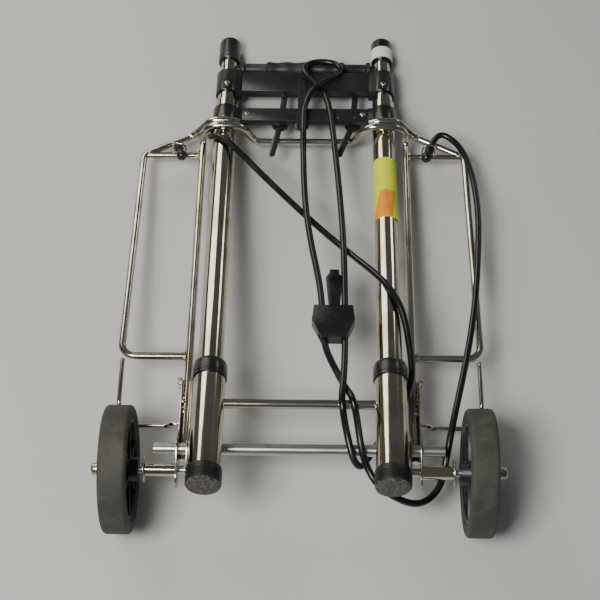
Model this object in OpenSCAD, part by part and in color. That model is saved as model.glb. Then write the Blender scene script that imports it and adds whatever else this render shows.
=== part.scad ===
// Folding luggage cart: two telescoping columns, a wire platform that folds flat against them, and two wheels
// that swing with the platform. Drawn folded and lying on its back: the wheels and the ends of the handle touch
// the ground. X is across the cart, Y runs from the wheels to the handle, and Z is up.

/* [Columns] */
// Distance between the centre lines of the two columns
column_spacing = 180; // [176:1:184]
// Length of a folded column, from the rubber foot to the end cap
column_length = 608; // [600:1:616]
// Outside diameter of the main tube
main_d = 25.4; // [25.2:0.1:25.6]
// Outside diameter of the lower sleeve
sleeve_d = 31.8; // [31.4:0.1:32.2]
// Distance from the foot's end to the top of the sleeve
sleeve_top = 122; // [118:1:128]
// Wall thickness of the tubes
tube_wall = 1.2; // [1.1:0.1:1.3]
// Diameter of the fixed bar between the sleeves
crossbar_d = 10; // [8:0.5:11]
// Diameter of the tube that the platform turns on
cross_tube_d = 12; // [11.5:0.5:12]

/* [Handle] */
// Outside diameter of the middle tube
middle_d = 22.2; // [22.1:0.1:22.2]
// Outside diameter of the inner tube
inner_d = 19; // [18.9:0.1:19]
// How far each of the two stages pulls out
stage_travel = 200; // [150:10:220]
// Diameter of the hand grip
grip_d = 18; // [16:0.5:18]
// Travel of the release buttons
button_travel = 1.6; // [1:0.2:1.8]

/* [Platform] */
// Distance from the platform's pivot to its front wire
platform_length = 397; // [395:1:399]
// Distance from the middle of the cart to the outer rod of a wing
wing_x = 186; // [182:1:188]
// Diameter of the platform's rods
rod_d = 8; // [7:0.5:8]
// Diameter of the thin wire in front of each wheel
guard_d = 4.8; // [4:0.2:5]
// How far the arches stand out over the columns
arch_height = 28; // [28:0.5:30]
// Angle between the folded platform and the columns, in degrees
platform_lift = 4.3; // [4:0.1:4.6]

/* [Wheels] */
// Wheel diameter
wheel_d = 127; // [124:1:128]
// Width of the tyre's tread
tyre_w = 27; // [25:1:35]
// Distance from the middle of the cart to the middle of a wheel
wheel_x = 177.5; // [177:0.5:179]
// Diameter of the stub axles
axle_d = 8; // [7.5:0.5:8]

/* [Hidden] */

$fn = 48;
left = -1;
right = 1;
chrome = "#c9c7bd";
zinc = "#b4bab8";
black = "#17181a";
rubber_black = "#222221";
tyre_grey = "#4c4f48";
hub_black = "#1b1c20";

// Sizes along a column, from the end of its foot
column_x = column_spacing / 2;
foot_length = 20;
sleeve_collar_length = 20;
main_tube_start = 24;
main_tube_end = 505;
main_collar_start = 472;
main_collar_length = 21;
middle_collar_start = 517;
middle_collar_length = 34;
cap_start = 572;
grip_at = 563;
stage_overlap = 60;
middle_tube_start = main_tube_end - stage_overlap - stage_travel;
middle_tube_end = middle_collar_start + middle_collar_length - 2;
inner_tube_start = middle_tube_end - stage_overlap - stage_travel;
inner_tube_end = column_length - 6;
slide_gap = 0.06;
guide_length = 14;
cap_r = inner_d / 2 + 3;
foot_r = sleeve_d / 2 + 1.6;
collar_wall = 2.3;
main_collar_r = main_d / 2 + collar_wall;
middle_collar_r = middle_d / 2 + collar_wall;

// The pivot and the axle, measured from the foot's end and from the column's centre line
pivot_y = 60;
pivot_z = -30;
axle_p = -17.5;
axle_q = -11.5;
axle_y = pivot_y + axle_p * cos(platform_lift) - axle_q * sin(platform_lift);
axle_z = pivot_z + axle_p * sin(platform_lift) + axle_q * cos(platform_lift);

// The tilt at which the wheels and the end caps both touch the ground, and where the foot's end then is
wheel_r = wheel_d / 2;
cap_round = 6;
rest_run = column_length - cap_round - axle_y;
rest_rise = -axle_z - cap_r + cap_round;
tilt = atan2(rest_rise, rest_run) + asin((wheel_r - cap_round) / norm([rest_run, rest_rise]));
foot_height = wheel_r + axle_y * sin(tilt) - axle_z * cos(tilt);
back_y = axle_y * cos(tilt) + axle_z * sin(tilt) - wheel_r;
far_y = (column_length - cap_round) * cos(tilt) + (cap_r - cap_round) * sin(tilt) + cap_round;
foot_shift = -(back_y + far_y) / 2;

// Platform rods and brackets, in the platform's own frame
rod_r = rod_d / 2;
side_x = 115;
rod_q = -(cross_tube_d / 2 + rod_r + 0.5);
arch_top_q = rod_q + arch_height;
arch_outer_bend = 19;
rod_bend = 8;
dip_x = 55;
arch_inner_x = 71;
wing_gap = rod_d + 0.02;
wing_corner_p = 376;
wing_corner_x = 181;
wing_low_p = 112;
cheek_gap = rod_d + 0.4;
cheek_t = 1.8;
bracket_w = cheek_gap + 2 * cheek_t;
running_gap = 0.05;
anchor_x = 140;
bend_steps = 5;
rod_sides = 12;

// Elastic cord, in the frame of the columns: hand-chosen points from its left end to its right end
cord_d = 7;
cord_sides = 8;
cord_route = [
    [-101, 486, -18], [-106, 478, -12], [-107, 468, -6], [-107, 458, -3], [-106, 449, 5],
    [-103, 444, 11], [-96, 440, 16], [-84, 431, 18], [-52, 397, 8], [-3, 343, 1],
    [29, 308, 0], [50, 285, 1], [78, 246, 15], [90, 228, 17], [99, 212, 16],
    [107, 192, 7], [113, 148, -9], [112, 126, -15], [93, 92, -29], [80, 77, -39],
    [70, 63, -43], [64, 49, -41], [58, 42, -32], [52, 48, -23], [49, 60, -17],
    [45, 74, -8], [42, 86, 8], [41, 97, 10], [43, 115, 11], [45, 152, 6],
    [45, 225, 5], [44, 285, 11], [41, 345, 9], [36, 415, 6], [31, 466, 12],
    [29, 482, 14], [25, 505, 13], [18, 520, 13], [1, 538, 15], [-2, 548, 15],
    [2, 557, 14], [11, 562, 14], [27, 562, 14], [37, 558, 14], [42, 548, 15],
    [39, 540, 16], [31, 530, 19], [19, 520, 21], [8, 509, 20], [2, 494, 18],
    [-1, 480, 17], [-1, 464, 15], [-1, 450, 15], [-1, 432, 9], [0, 400, 7],
    [2, 345, 9], [10, 285, 7], [22, 228, 5], [22, 165, 6], [30, 146, 3],
    [45, 112, 2], [50, 101, 9], [52, 94, 10], [54, 87, 7], [57, 77, -5],
    [60, 60, -18], [63, 47, -21], [67, 34, -22], [75, 21, -27], [88, 16, -38],
    [103, 14, -49], [115, 14, -54], [127, 19, -56], [140, 35, -57], [144, 52, -53],
    [148, 70, -38], [154, 98, -28], [160, 122, -26], [173, 180, -22], [180, 220, -19],
    [185, 255, -16], [193, 345, -12], [190, 392, -9], [184, 424, -4], [175, 444, -1],
    [163, 456, 1], [154, 459, 2], [148, 454, 0], [144, 446, -3]
];

// Stand in the tilted frame of the columns: origin at the foot's end, Y along the columns, Z to the front
module posed() {
    translate([0, foot_shift, foot_height]) rotate([-tilt, 0, 0]) children();
}

// Stand in the platform's frame: origin on the pivot, Y towards the platform's front wire
module platform_posed() {
    posed() translate([0, pivot_y, pivot_z]) rotate([platform_lift, 0, 0]) children();
}

module on_side(side) {
    mirror([side < 0 ? 1 : 0, 0, 0]) children();
}

// A cylinder along a column from one distance to another
module along(from, to, d) {
    translate([0, from, 0]) rotate([-90, 0, 0]) cylinder(d = d, h = to - from);
}

// A cylinder along X from one place to another
module across(from, to, d) {
    translate([from, 0, 0]) rotate([0, 90, 0]) cylinder(d = d, h = to - from);
}

module tube(from, to, outside, inside) {
    difference() {
        along(from, to, outside);
        along(from - 1, to + 1, inside);
    }
}

function unit(a) = a / norm(a);
function any_normal(u) = unit(abs(u.z) < 0.9 ? cross(u, [0, 0, 1]) : cross(u, [1, 0, 0]));
function turn(p, i) = acos(max(-1, min(1, unit(p[i] - p[i - 1]) * unit(p[i + 1] - p[i]))));

// Points along the bend of radius r at corner i of a path p
function bend(p, r, i) =
    let (u = unit(p[i] - p[i - 1]), v = unit(p[i + 1] - p[i]), n = unit(v - u * (u * v)), a = turn(p, i))
    let (start = p[i] - u * r * tan(a / 2))
    [for (k = [0 : bend_steps]) start + n * r * (1 - cos(a * k / bend_steps)) + u * r * sin(a * k / bend_steps)];

function rounded(p, r) = [p[0], for (i = [1 : len(p) - 2]) each bend(p, r[i], i), p[len(p) - 1]];

function directions(p) =
    let (last = len(p) - 1)
    [for (i = [0 : last]) unit(p[min(i + 1, last)] - p[max(i - 1, 0)])];

// One normal for each direction, carried along the path without twisting
function normals(t) =
    [for (i = 0, n = any_normal(t[0]); i < len(t); i = i + 1, n = i < len(t) ? unit(n - t[i] * (n * t[i])) : n) n];

// A round tube of diameter d along a path
module swept(path, d, sides) {
    t = directions(path);
    n = normals(t);
    step = 360 / sides;
    points = [for (i = [0 : len(path) - 1]) for (j = [0 : sides - 1])
        path[i] + d / 2 * (n[i] * cos(j * step) + cross(t[i], n[i]) * sin(j * step))];
    walls = [for (i = [0 : len(path) - 2]) for (j = [0 : sides - 1])
        let (k = (j + 1) % sides)
        [i * sides + j, (i + 1) * sides + j, (i + 1) * sides + k, i * sides + k]];
    start_cap = [for (j = [0 : sides - 1]) j];
    end_cap = [for (j = [sides - 1 : -1 : 0]) (len(path) - 1) * sides + j];
    polyhedron(points, concat([start_cap, end_cap], walls), convexity = 10);
}

// A round rod bent along corner points p, with a bend radius r at each corner
module bent_rod(p, r, d) {
    swept(rounded(p, r), d, rod_sides);
}

// --- Columns -------------------------------------------------------------------------------------------------

// Rubber foot: a cup over the sleeve's lower end, with a ribbed grip and a chamfered tread
module foot() {
    color(rubber_black) posed() translate([column_x, 0, 0]) difference() {
        rotate([-90, 0, 0]) rotate_extrude() polygon([
            [0, 0], [foot_r - 2, 0], [foot_r, 2], [foot_r, foot_length], [0, foot_length],
        ]);
        along(5, foot_length + 1, sleeve_d);
    }
}

module sleeve() {
    color(chrome) posed() translate([column_x, 0, 0]) difference() {
        tube(5, sleeve_top, sleeve_d, sleeve_d - 2 * tube_wall);
        translate([-column_x, 94, 0]) across(0, column_x, crossbar_d);
    }
}

// Black reducer that holds the main tube in the top of the sleeve
module sleeve_collar() {
    color(black) posed() translate([column_x, 0, 0]) {
        tube(sleeve_top - 14, sleeve_top, sleeve_d - 2 * tube_wall, main_d);
        tube(sleeve_top, sleeve_top + sleeve_collar_length, sleeve_d + 3, main_d);
    }
}

module main_tube() {
    color(chrome) posed() translate([column_x, 0, 0]) difference() {
        tube(main_tube_start, main_tube_end, main_d, main_d - 2 * tube_wall);
        translate([-column_x, 94, 0]) across(0, column_x, crossbar_d);
    }
}

// Collar clamped round the top of a tube, with a pad on its inner side for the end of a beam
module collar(from, length, r, bore, pad_from, pad_to) {
    posed() translate([column_x, 0, 0]) difference() {
        union() {
            rotate([-90, 0, 0]) rotate_extrude() polygon([
                [0, from], [r - 0.8, from], [r, from + 0.8], [r, from + length - 0.8],
                [r - 0.8, from + length], [0, from + length],
            ]);
            translate([-r - 3, from + 1, pad_from]) cube([r, length - 2, pad_to - pad_from]);
        }
        along(from - 1, from + length + 1, bore);
    }
}

main_beam_z = [-1, 8];
middle_beam_z = [-2, 9];
beam_t = 1.6;

module main_collar() {
    color(black) collar(main_collar_start, main_collar_length, main_collar_r, main_d, -4, 9);
}

// Pressed steel channel with its flanges pointing back, between two collars
module channel(from, to, z, half) {
    translate([-half, from, z[1] - beam_t]) cube([2 * half, to - from, beam_t]);
    translate([-half, from, z[0]]) cube([2 * half, beam_t, z[1] - z[0]]);
    translate([-half, to - beam_t, z[0]]) cube([2 * half, beam_t, z[1] - z[0]]);
}

main_beam_half = column_x - main_collar_r - 3;
middle_beam_half = column_x - middle_collar_r - 3;

module main_beam() {
    color(black) posed()
        channel(main_collar_start + 1, main_collar_start + main_collar_length - 1, main_beam_z, main_beam_half);
}

// Steel bar through both sleeves and main tubes
module crossbar() {
    color(chrome) posed() translate([0, 94, 0]) across(-column_x - 8, column_x + 8, crossbar_d);
}

lug_w = 20;

// Lug welded to the back of a sleeve, which carries the cross tube
module pivot_lug() {
    color(zinc) posed() difference() {
        union() {
            translate([column_x - lug_w / 2, pivot_y - 8, pivot_z]) cube([lug_w, 16, -pivot_z - 8]);
            translate([0, pivot_y, pivot_z]) across(column_x - lug_w / 2, column_x + lug_w / 2, 18);
        }
        translate([column_x, 0, 0]) along(pivot_y - 20, pivot_y + 20, sleeve_d);
        translate([0, pivot_y, pivot_z]) across(column_x - lug_w, column_x + lug_w, cross_tube_d);
    }
}

module cross_tube() {
    color(zinc) posed() translate([0, pivot_y, pivot_z]) difference() {
        across(-144, 144, cross_tube_d);
        across(-145, 145, cross_tube_d - 2.4);
    }
}

module cross_tube_washers() {
    color(zinc) posed() for (side = [left, right]) on_side(side)
        translate([0, pivot_y, pivot_z]) difference() {
            across(side_x - bracket_w / 2 - 2, side_x - bracket_w / 2 - 0.4, 20);
            across(0, side_x, cross_tube_d);
        }
}

// Two domed rivets at each end of each beam's front face
module rivet(x, y, z, d) {
    translate([x, y, z]) rotate_extrude() polygon([
        [0, 0], [d / 2, 0], [d / 2 - 0.4, 0.8], [d / 4, 1.4], [0, 1.6],
    ]);
}

module beam_rivets() {
    color(zinc) posed() for (side = [left, right]) on_side(side)
        rivet(main_beam_half - 6, main_collar_start + main_collar_length / 2, main_beam_z[1], 6);
}

// --- Handle --------------------------------------------------------------------------------------------------

button_y = middle_collar_start + 6;
button_d = 7;
boss_r = middle_collar_r + 2.4;

module middle_tube() {
    color(chrome) posed() translate([column_x, 0, 0])
        tube(middle_tube_start, middle_tube_end, middle_d, middle_d - 2 * tube_wall);
}

// Collar on the middle tube, with a boss on its front that holds the release button
module middle_collar() {
    color(black) difference() {
        union() {
            collar(middle_collar_start, middle_collar_length, middle_collar_r, middle_d, -5, 10);
            posed() translate([column_x, button_y, 0]) cylinder(d = button_d + 4, h = boss_r);
        }
        posed() translate([column_x, 0, 0]) along(middle_collar_start - 1, middle_tube_end + 9, middle_d);
        posed() translate([column_x, button_y, 0]) cylinder(d = button_d + 0.2, h = boss_r + 1);
    }
}

module middle_beam() {
    color(black) posed() channel(middle_collar_start + 2, middle_collar_start + middle_collar_length - 2,
        middle_beam_z, middle_beam_half);
}

// Plastic guides pressed into the lower ends of the sliding tubes
module guide(end, tube_d, bore_d) {
    posed() for (side = [left, right]) on_side(side) translate([column_x, 0, 0]) {
        tube(end - 6, end, bore_d - 2 * slide_gap, tube_d - 2 * tube_wall - 4);
        tube(end, end + guide_length, tube_d - 2 * tube_wall, tube_d - 2 * tube_wall - 4);
    }
}

module middle_guides() {
    color(black) guide(middle_tube_start, middle_d, main_d - 2 * tube_wall);
}

module inner_guides() {
    color(black) guide(inner_tube_start, inner_d, middle_d - 2 * tube_wall);
}

finger_t = 2.4;
finger_w = 7;
finger_z = -5.4;
finger_top = 546;
finger_lobe_y = 477;
finger_lobe_d = 19;
finger_end = 432;
// Each finger's place across the cart at its top, its lobe and its end
finger_xs = [[-21, -28, -36], [60, 55, 40]];

// Two flat hooks that hang from the middle beam, pass behind the main beam and lap over the front wire
module catch_fingers() {
    half = finger_w / 2;
    color(black) posed() for (x = finger_xs) {
        translate([0, 0, finger_z]) linear_extrude(finger_t) {
            polygon([
                [x[0] - half, finger_top], [x[0] + half, finger_top], [x[1] + half, finger_lobe_y],
                [x[2] + half, finger_end], [x[2] - half, finger_end], [x[1] - half, finger_lobe_y],
            ]);
            translate([x[2], finger_end]) circle(d = finger_w);
            translate([x[1], finger_lobe_y]) circle(d = finger_lobe_d);
        }
        translate([x[0] - half, finger_top - 22, finger_z + finger_t])
            cube([finger_w, 18, middle_beam_z[1] - beam_t - finger_z - finger_t]);
    }
}

strap_w = 10;
strap_end = 462;
strap_lobe_d = 16;

// Flat strap riveted to the front of the middle beam, with a hanging hole in its rounded end
module catch_strap() {
    color(black) posed() translate([0, 0, middle_beam_z[1]]) linear_extrude(2) difference() {
        union() {
            translate([-strap_w / 2 - 3, strap_end]) square([strap_w, 540 - strap_end]);
            translate([-3, strap_end]) circle(d = strap_lobe_d);
        }
        translate([-3, strap_end]) circle(d = 5);
    }
}

button_in = middle_d / 2 + button_travel + 0.1;
button_out = boss_r + button_travel + 1.4;

// Domed release button
module button() {
    color(chrome) posed() translate([column_x, button_y, 0]) rotate_extrude() polygon([
        [0, button_in], [button_d / 2, button_in], [button_d / 2, button_out - 1.6],
        [button_d / 2 - 0.6, button_out - 0.7], [button_d / 4, button_out], [0, button_out + 0.2],
    ]);
}

// Thin wave spring washer under the button
module button_spring() {
    color(zinc) posed() translate([column_x, button_y, middle_d / 2]) difference() {
        cylinder(d = button_d - 1, h = button_travel);
        translate([0, 0, -1]) cylinder(d = button_d - 2.4, h = button_travel + 2);
        translate([-button_d, -button_d, -1]) cube([2 * button_d, 2 * button_d, 1.3]);
    }
}

module inner_tube() {
    color(chrome) posed() translate([column_x, 0, 0])
        tube(inner_tube_start, inner_tube_end, inner_d, inner_d - 2 * tube_wall);
}

// Rounded rubber cap over the top of the inner tube
module end_cap() {
    color(rubber_black) posed() translate([column_x, 0, 0]) difference() {
        union() {
            along(cap_start, column_length - cap_round, 2 * cap_r);
            rotate([-90, 0, 0]) rotate_extrude() translate([0, column_length - cap_round]) intersection() {
                square([cap_r, cap_round]);
                union() {
                    square([cap_r - cap_round, cap_round]);
                    translate([cap_r - cap_round, 0]) circle(r = cap_round);
                }
            }
        }
        along(cap_start - 1, inner_tube_end, inner_d);
    }
}

grip_half = 76;

// Steel bar welded between the inner tubes
module grip_bar() {
    color(black) posed() difference() {
        translate([0, grip_at, 0]) across(-column_x, column_x, 10);
        for (side = [left, right]) on_side(side)
            translate([column_x, 0, 0]) along(grip_at - 20, grip_at + 20, inner_d);
    }
}

// Hand grip round the bar, with a flange at each end and shallow finger rings
module grip() {
    color(rubber_black) posed() translate([0, grip_at, 0]) difference() {
        union() {
            across(-grip_half, grip_half, grip_d - 1.6);
            for (side = [left, right]) on_side(side) across(grip_half - 6, grip_half, grip_d);
            for (i = [-6 : 6]) translate([i * 10, 0, 0]) across(-3.2, 3.2, grip_d);
        }
        across(-grip_half - 1, grip_half + 1, 10);
    }
}

// --- Elastic cord --------------------------------------------------------------------------------------------

module elastic_cord() {
    color(rubber_black) posed() swept(cord_route, cord_d, cord_sides);
}

slider_t = 13;
slider_z = 5.5;

// Moulded slider: both strands run through it, and its arm is a hook
module cord_slider() {
    color(black) posed() difference() {
        translate([0, 0, slider_z - slider_t / 2]) union() {
            linear_extrude(slider_t)
                polygon([[13, 208], [53, 208], [55, 190], [46, 168], [21, 168], [11, 190]]);
            linear_extrude(slider_t - 8)
                polygon([[29, 200], [38, 200], [40, 216], [43, 250], [38, 256], [29, 256], [25, 250], [28, 216]]);
            translate([29, 246, 0]) cube([10, 9, slider_t - 1]);
        }
        for (x = [22, 45]) translate([x, 0, slider_z]) along(160, 215, cord_d + 1.4);
    }
}

// --- Platform ------------------------------------------------------------------------------------------------

// One long rod: both side rods, the two arches over the columns, and the straight front wire between them
module front_wire() {
    half = [
        [side_x, -8, rod_q], [side_x, platform_length, rod_q], [side_x, platform_length, arch_top_q],
        [arch_inner_x, platform_length, arch_top_q], [dip_x, platform_length, rod_q],
    ];
    bends = [0, rod_bend, arch_outer_bend, 18, 9];
    other = [for (i = [len(half) - 1 : -1 : 0]) [-half[i].x, half[i].y, half[i].z]];
    other_bends = [for (i = [len(bends) - 1 : -1 : 0]) bends[i]];
    color(chrome) platform_posed() bent_rod(concat(half, other), concat(bends, other_bends), rod_d);
}

wing_diagonal_x = side_x + 12;

// Wing: from the arch, diagonally to the outer corner, down the outside and back to the side rod
module wing_wire() {
    p0 = platform_length + wing_gap;
    color(chrome) platform_posed() bent_rod([
        [arch_inner_x + 3, p0, arch_top_q - 4], [arch_inner_x + 12, p0, arch_top_q],
        [side_x - 10, p0, arch_top_q], [wing_diagonal_x, p0 - 0.5, rod_q], [wing_corner_x, wing_corner_p, rod_q],
        [wing_x, wing_low_p, rod_q], [side_x + rod_r, wing_low_p, rod_q],
    ], [0, 14, 16, 12, 12, 14, 0], rod_d);
}

// Straight rod across the top of a wing, coped where it meets the diagonal
module wing_rod() {
    rise = platform_length + wing_gap - 0.5 - wing_corner_p;
    color(chrome) platform_posed() translate([0, wing_corner_p, rod_q]) difference() {
        across(side_x + rod_r, wing_corner_x - 9, rod_d - 1);
        translate([wing_corner_x, 0, 0]) rotate([0, 0, atan2(rise, wing_diagonal_x - wing_corner_x)])
            rotate([0, 90, 0]) cylinder(d = rod_d + 1, h = 60);
    }
}

// Thin wire that dips in front of the wheel and comes back to the bracket
module guard_wire() {
    low_q = -41;
    in_x = side_x + 16;
    color(chrome) platform_posed() bent_rod([
        [wing_x - 2, wing_low_p - rod_r, rod_q], [wing_x - 2, 56, rod_q - 1.5], [wing_x - 2, 47, low_q],
        [in_x, 47, low_q], [in_x, 34, rod_q - 1.5], [side_x + bracket_w / 2, 34, rod_q - 1.5],
    ], [0, 9, 9, 9, 6, 0], guard_d);
}

// Two steel cheeks and a back, folded round the end of the side rod: they turn on the cross tube and hold the axle
module bracket() {
    back_q = rod_q - rod_r - 1.6;
    color(chrome) platform_posed() difference() {
        union() {
            for (x = [side_x - bracket_w / 2, side_x + cheek_gap / 2])
                translate([x, 0, 0]) rotate([90, 0, 90]) linear_extrude(cheek_t) union() {
                    circle(r = 11);
                    translate([-26, -8]) circle(r = 11);
                    translate([78, rod_q]) circle(r = 5.6);
                    polygon([[-26, 3], [0, 11], [10, 5], [26, rod_q + 5.6], [78, rod_q + 5.6], [78, back_q],
                        [-20, back_q], [-35, -14]]);
                }
            translate([side_x - cheek_gap / 2, 0, back_q]) cube([cheek_gap, 70, 1.6]);
        }
        across(0, side_x + 20, cross_tube_d + 2 * running_gap);
        translate([0, axle_p, axle_q]) across(0, side_x + 20, axle_d);
    }
}

spacer_end = 152;
hub_half = 19;

// Stub axle with its head against the inner cheek
module stub_axle() {
    color(zinc) platform_posed() translate([0, axle_p, axle_q]) {
        across(side_x - bracket_w / 2, wheel_x + hub_half + 7, axle_d);
        across(side_x - bracket_w / 2 - 2.2, side_x - bracket_w / 2, 13);
    }
}

// Chromed tube over the axle, between the bracket and the wheel
module spacer() {
    color(chrome) platform_posed() translate([0, axle_p, axle_q]) difference() {
        across(side_x + bracket_w / 2, spacer_end, 14);
        across(0, spacer_end + 1, axle_d);
    }
}

// A large washer on the inner side of each wheel
module axle_washers() {
    color(zinc) platform_posed() for (side = [left, right]) on_side(side)
        translate([0, axle_p, axle_q]) difference() {
            across(spacer_end, spacer_end + 1.6, 26);
            across(0, wheel_x, axle_d);
        }
}

anchor_d = 10;
anchor_z = rod_q + 8.6;
anchor_lean = 20;

// Rubber end of the elastic cord: a short boot over the wing rod, ending in a ball
module cord_anchor() {
    color(rubber_black) platform_posed()
        translate([anchor_x, wing_corner_p, anchor_z]) rotate([0, 0, -anchor_lean]) {
            along(-7, 6, anchor_d);
            translate([0, -7, 0]) sphere(d = anchor_d + 2);
            translate([0, 6, 0]) rotate([-90, 0, 0]) cylinder(d1 = anchor_d, d2 = cord_d, h = 4.5, $fn = 48);
        }
}

// --- Wheels --------------------------------------------------------------------------------------------------

// Turn a profile drawn as [radius, distance along the axle] round the axle of one wheel
module on_axle() {
    platform_posed() translate([wheel_x, axle_p, axle_q]) rotate([0, 90, 0]) rotate_extrude($fn = 96) children();
}

tyre_inner_r = 50;
shoulder = 4;

module tyre() {
    half = tyre_w / 2;
    color(tyre_grey) on_axle() difference() {
        union() {
            translate([tyre_inner_r, -half]) square([wheel_r - tyre_inner_r - shoulder, tyre_w]);
            translate([tyre_inner_r, -half + shoulder]) square([wheel_r - tyre_inner_r, tyre_w - 2 * shoulder]);
            for (y = [-half + shoulder, half - shoulder]) translate([wheel_r - shoulder, y]) circle(r = shoulder);
        }
        translate([tyre_inner_r - 1, -6]) square([4, 12]);
    }
}

rim_half = 12;
bush_gap = 0.04;

// Plastic wheel centre: a rim under the tyre, a ribbed web and a long barrel
module hub() {
    color(hub_black) {
        on_axle() difference() {
            union() {
                translate([10, -3]) square([tyre_inner_r - 10, 6]);
                translate([tyre_inner_r - 4, -rim_half]) square([4, 2 * rim_half]);
                translate([tyre_inner_r, -6]) square([3, 12]);
                translate([0, -hub_half]) square([12, 2 * hub_half]);
            }
            translate([-1, -hub_half - 1]) square([axle_d / 2 + bush_gap + 1, 2 * hub_half + 2]);
        }
        platform_posed() translate([wheel_x, axle_p, axle_q]) for (i = [0 : 5]) rotate([i * 60, 0, 0])
            translate([-11, -1.5, 11]) cube([22, 3, tyre_inner_r - 14]);
    }
}

// Domed push-on cap at the outer end of the axle
module axle_cap() {
    cap_x = wheel_x + hub_half + 0.6;
    color(chrome) platform_posed() translate([0, axle_p, axle_q]) difference() {
        translate([cap_x, 0, 0]) rotate([0, 90, 0]) rotate_extrude() {
            square([8, 1.2]);
            square([6.2, 6]);
            intersection() {
                translate([0, 6]) circle(r = 6.2);
                translate([0, 5]) square([7, 3.4]);
            }
        }
        across(0, wheel_x + hub_half + 7, axle_d);
    }
}

on_side(left) foot();  // foot_left
on_side(right) foot();  // foot_right
on_side(left) sleeve();  // sleeve_left
on_side(right) sleeve();  // sleeve_right
on_side(left) sleeve_collar();  // sleeve_collar_left
on_side(right) sleeve_collar();  // sleeve_collar_right
on_side(left) main_tube();  // main_tube_left
on_side(right) main_tube();  // main_tube_right
on_side(left) main_collar();  // main_collar_left
on_side(right) main_collar();  // main_collar_right
main_beam();
crossbar();
on_side(left) pivot_lug();  // pivot_lug_left
on_side(right) pivot_lug();  // pivot_lug_right
cross_tube();
cross_tube_washers();
beam_rivets();
on_side(left) middle_tube();  // middle_tube_left
on_side(right) middle_tube();  // middle_tube_right
on_side(left) middle_collar();  // middle_collar_left
on_side(right) middle_collar();  // middle_collar_right
middle_beam();
middle_guides();
catch_fingers();
catch_strap();
on_side(left) button();  // button_left
on_side(right) button();  // button_right
on_side(left) button_spring();  // button_spring_left
on_side(right) button_spring();  // button_spring_right
on_side(left) inner_tube();  // inner_tube_left
on_side(right) inner_tube();  // inner_tube_right
inner_guides();
on_side(left) end_cap();  // end_cap_left
on_side(right) end_cap();  // end_cap_right
grip_bar();
grip();
front_wire();
on_side(left) wing_wire();  // wing_wire_left
on_side(right) wing_wire();  // wing_wire_right
on_side(left) wing_rod();  // wing_rod_left
on_side(right) wing_rod();  // wing_rod_right
on_side(left) guard_wire();  // guard_wire_left
on_side(right) guard_wire();  // guard_wire_right
on_side(left) bracket();  // bracket_left
on_side(right) bracket();  // bracket_right
on_side(left) stub_axle();  // stub_axle_left
on_side(right) stub_axle();  // stub_axle_right
on_side(left) spacer();  // spacer_left
on_side(right) spacer();  // spacer_right
axle_washers();
on_side(left) cord_anchor();  // cord_anchor_left
on_side(right) cord_anchor();  // cord_anchor_right
elastic_cord();
cord_slider();
on_side(left) tyre();  // tyre_left
on_side(right) tyre();  // tyre_right
on_side(left) hub();  // hub_left
on_side(right) hub();  // hub_right
on_side(left) axle_cap();  // axle_cap_left
on_side(right) axle_cap();  // axle_cap_right
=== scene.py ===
"""Looks of a folding luggage cart, folded and lying on its wheels and the ends of its handle."""

import sys
import logging
import math
from dataclasses import dataclass
from enum import Enum
from typing import Iterable, Sequence

import bpy
from mathutils import Matrix, Vector


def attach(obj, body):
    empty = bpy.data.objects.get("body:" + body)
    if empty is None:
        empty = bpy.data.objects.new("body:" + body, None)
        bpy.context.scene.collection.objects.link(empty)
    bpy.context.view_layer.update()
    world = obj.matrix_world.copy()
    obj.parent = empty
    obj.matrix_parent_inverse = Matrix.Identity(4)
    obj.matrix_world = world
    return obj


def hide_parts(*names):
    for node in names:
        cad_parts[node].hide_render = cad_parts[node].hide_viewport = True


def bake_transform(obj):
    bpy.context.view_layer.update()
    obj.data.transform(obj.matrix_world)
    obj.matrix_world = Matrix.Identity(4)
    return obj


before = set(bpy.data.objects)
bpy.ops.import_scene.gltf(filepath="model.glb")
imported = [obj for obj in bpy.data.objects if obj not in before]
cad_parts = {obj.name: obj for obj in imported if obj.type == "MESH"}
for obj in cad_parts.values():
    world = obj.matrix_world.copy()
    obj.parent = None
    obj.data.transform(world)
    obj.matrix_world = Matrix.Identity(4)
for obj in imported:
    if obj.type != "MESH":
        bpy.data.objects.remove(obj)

log = logging.getLogger("luggage_cart")
MM = 0.001
Point = tuple[float, float, float]
Colour = tuple[float, float, float]


class Body(Enum):
    """The parts of the cart that move as one."""

    COLUMNS = "columns"
    MIDDLE = "middle_stage"
    HANDLE = "handle_stage"
    PLATFORM = "platform"
    WHEEL_LEFT = "wheel_left"
    WHEEL_RIGHT = "wheel_right"
    RELEASE_LEFT = "release_left"
    RELEASE_RIGHT = "release_right"


class Side(Enum):
    """The two sides of the cart, as the sign of X."""

    LEFT = -1
    RIGHT = 1

    @property
    def word(self) -> str:
        """The side's name as it stands in a node's name."""
        return self.name.lower()


# --- Sizes, in millimetres ------------------------------------------------------------------------


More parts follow.
